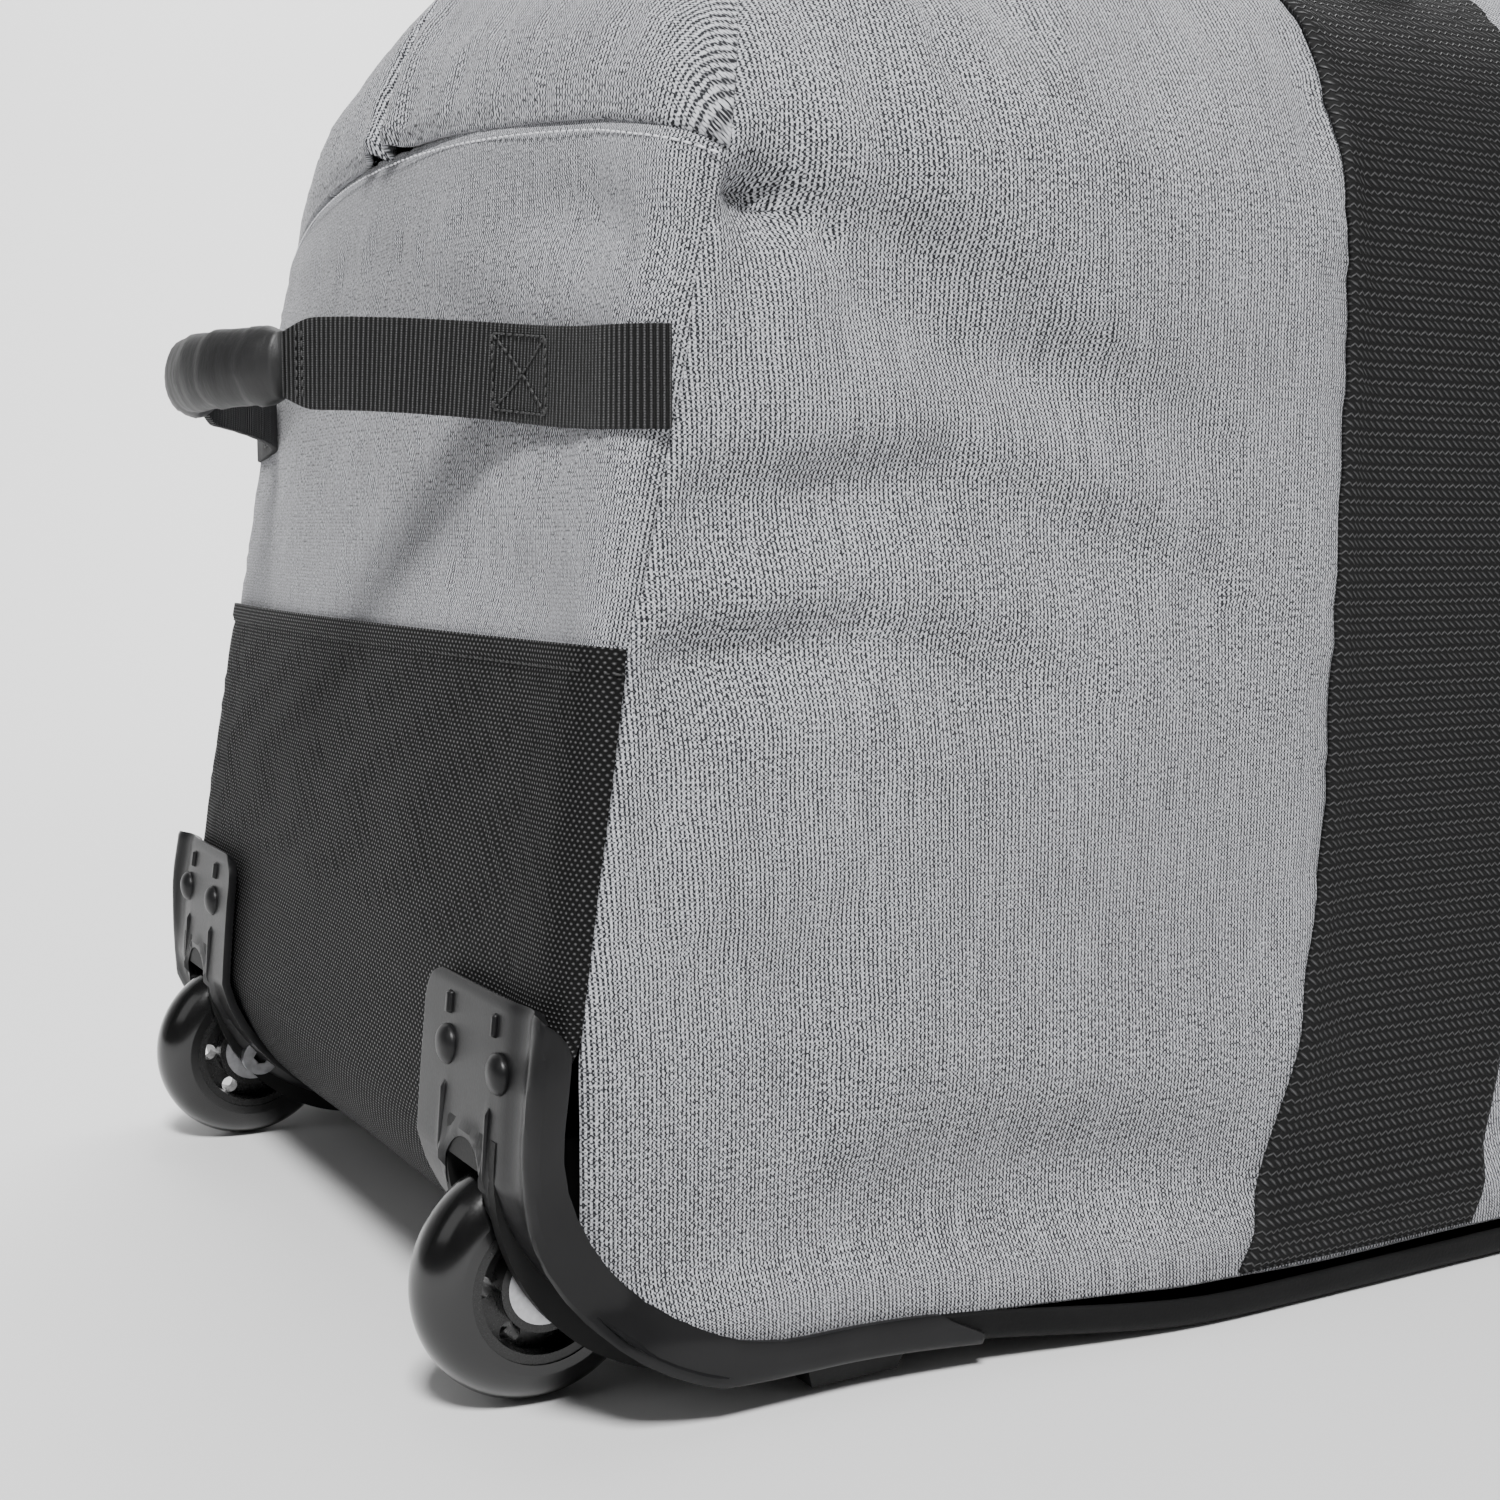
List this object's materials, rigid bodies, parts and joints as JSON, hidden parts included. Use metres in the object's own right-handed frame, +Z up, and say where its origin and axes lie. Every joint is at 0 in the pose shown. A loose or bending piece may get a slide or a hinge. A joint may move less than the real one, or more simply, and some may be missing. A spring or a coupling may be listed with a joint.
{
  "type": "rolling duffel bag",
  "caption": "Large soft rolling duffel with grey fabric panels, black webbing bands, zip top, in-line wheels in corner guards and a telescopic tow handle.",
  "frame": {"origin": "on the floor under the middle of the bag, halfway between the tips of the two grab handles", "axes": "+X along the bag from the wheels to the tow handle, +Y to the bag's rear side, +Z up"},
  "size_m": [0.916, 0.396, 0.528],
  "materials": {
    "grey_fabric": "heather grey woven polyester, matte",
    "black_fabric": "black ballistic nylon, slight sheen",
    "webbing": "black ribbed webbing",
    "grip_wrap": "smooth black wrapped grip",
    "black_plastic": "satin black moulded plastic",
    "tyre": "glossy black polyurethane",
    "steel": "zinc-plated steel",
    "aluminium": "satin anodised",
    "zip_metal": "black enamelled zinc",
    "zip_tape": "black woven tape",
    "board": "black polyethylene sheet"
  },
  "bodies": {
    "bag": {"axle_bolts": "steel", "band_tow_end_front": "webbing", "band_tow_end_rear": "webbing", "band_wheel_end_front": "webbing", "band_wheel_end_rear": "webbing", "base_board": "board", "base_feet": "black_plastic", "base_panel": "black_fabric", "carry_handle_tabs": "webbing", "corner_guard_front": "black_plastic", "corner_guard_rear": "black_plastic", "grab_handle_grip_tow_end": "grip_wrap", "grab_handle_grip_wheel_end": "grip_wrap", "grab_handle_strap_tow_end": "webbing", "grab_handle_strap_wheel_end": "webbing", "guard_rivets": "black_plastic", "kick_panel": "black_fabric", "outer_tube_front": "aluminium", "outer_tube_rear": "aluminium", "side_panel_front": "grey_fabric", "side_panel_rear": "grey_fabric", "tow_bezel": "black_plastic", "tow_end_gusset_front": "grey_fabric", "tow_end_gusset_rear": "grey_fabric", "tow_end_kick_panel": "black_fabric", "tow_end_panel": "grey_fabric", "tube_bracket": "black_plastic", "tube_saddles": "black_plastic", "wheel_end_gusset_front": "grey_fabric", "wheel_end_gusset_rear": "grey_fabric", "wheel_end_panel": "grey_fabric", "wheel_housing_front": "black_plastic", "wheel_housing_rear": "black_plastic", "zip_coil": "zip_tape", "zip_tape_front": "zip_tape", "zip_tape_rear": "zip_tape"},
    "wheel_front": {"tyre_front": "tyre", "wheel_hub_front": "black_plastic", "wheel_bearings_front": "steel"},
    "wheel_rear": {"tyre_rear": "tyre", "wheel_hub_rear": "black_plastic", "wheel_bearings_rear": "steel"},
    "tow_handle": {"sliding_tube_front": "aluminium", "sliding_tube_rear": "aluminium", "tube_plugs": "black_plastic", "tow_grip": "black_plastic"},
    "release": {"release_button": "black_plastic", "release_rods": "steel", "button_spring": "steel"},
    "lock_front": {"lock_pin_front": "steel"},
    "lock_rear": {"lock_pin_rear": "steel"},
    "slider_wheel_end": {"zip_slider_wheel_end": "zip_metal"},
    "slider_tow_end": {"zip_slider_tow_end": "zip_metal"},
    "pull_wheel_end": {"zip_pull_wheel_end": "zip_metal"},
    "pull_tow_end": {"zip_pull_tow_end": "zip_metal"},
    "carry_front": {"carry_handle_strap_front": "webbing", "carry_handle_grip_front": "grip_wrap"},
    "carry_rear": {"carry_handle_strap_rear": "webbing", "carry_handle_grip_rear": "grip_wrap"}
  },
  "joints": [
    {"name": "wheel_spin_front", "type": "hinge", "parent": "bag", "child": "wheel_front", "pos_m": [-0.404, -0.144, 0.035], "axis": [0, 1, 0], "continuous": true},
    {"name": "wheel_spin_rear", "type": "hinge", "parent": "bag", "child": "wheel_rear", "pos_m": [-0.404, 0.144, 0.035], "axis": [0, 1, 0], "continuous": true},
    {"name": "tow_handle_slide", "type": "slide", "parent": "bag", "child": "tow_handle", "axis": [1, 0, 0], "range_m": [0, 0.42]},
    {"name": "release_press", "type": "slide", "parent": "tow_handle", "child": "release", "axis": [-1, 0, 0], "range_m": [0, 0.004], "stiffness_N_per_m": 1500, "springref_m": -0.003, "deforming": ["button_spring"]},
    {"name": "lock_retract_front", "type": "slide", "parent": "tow_handle", "child": "lock_front", "axis": [0, 1, 0], "range_m": [0, 0.004]},
    {"name": "lock_retract_rear", "type": "slide", "parent": "tow_handle", "child": "lock_rear", "axis": [0, -1, 0], "range_m": [0, 0.004]},
    {"name": "zip_travel_wheel_end", "type": "slide", "parent": "bag", "child": "slider_wheel_end", "axis": [-1, 0, 0], "range_m": [0, 0.27]},
    {"name": "zip_pull_lift_wheel_end", "type": "hinge", "parent": "slider_wheel_end", "child": "pull_wheel_end", "pos_m": [-0.0234, 0, 0.4572], "axis": [0, 1, 0], "range_deg": [0, 100]},
    {"name": "zip_travel_tow_end", "type": "slide", "parent": "bag", "child": "slider_tow_end", "axis": [1, 0, 0], "range_m": [0, 0.27]},
    {"name": "zip_pull_lift_tow_end", "type": "hinge", "parent": "slider_tow_end", "child": "pull_tow_end", "pos_m": [0.0234, 0, 0.4572], "axis": [0, -1, 0], "range_deg": [0, 100]},
    {"name": "carry_handle_fold_front", "type": "hinge", "parent": "bag", "child": "carry_front", "pos_m": [0, -0.118, 0.439], "axis": [1, 0, 0], "range_deg": [0, 135]},
    {"name": "carry_handle_fold_rear", "type": "hinge", "parent": "bag", "child": "carry_rear", "pos_m": [0, 0.118, 0.439], "axis": [-1, 0, 0], "range_deg": [0, 135]}
  ],
  "couplings": [
    {"joint": "lock_retract_front", "follows": "release_press", "ratio": 1},
    {"joint": "lock_retract_rear", "follows": "release_press", "ratio": 1}
  ]
}
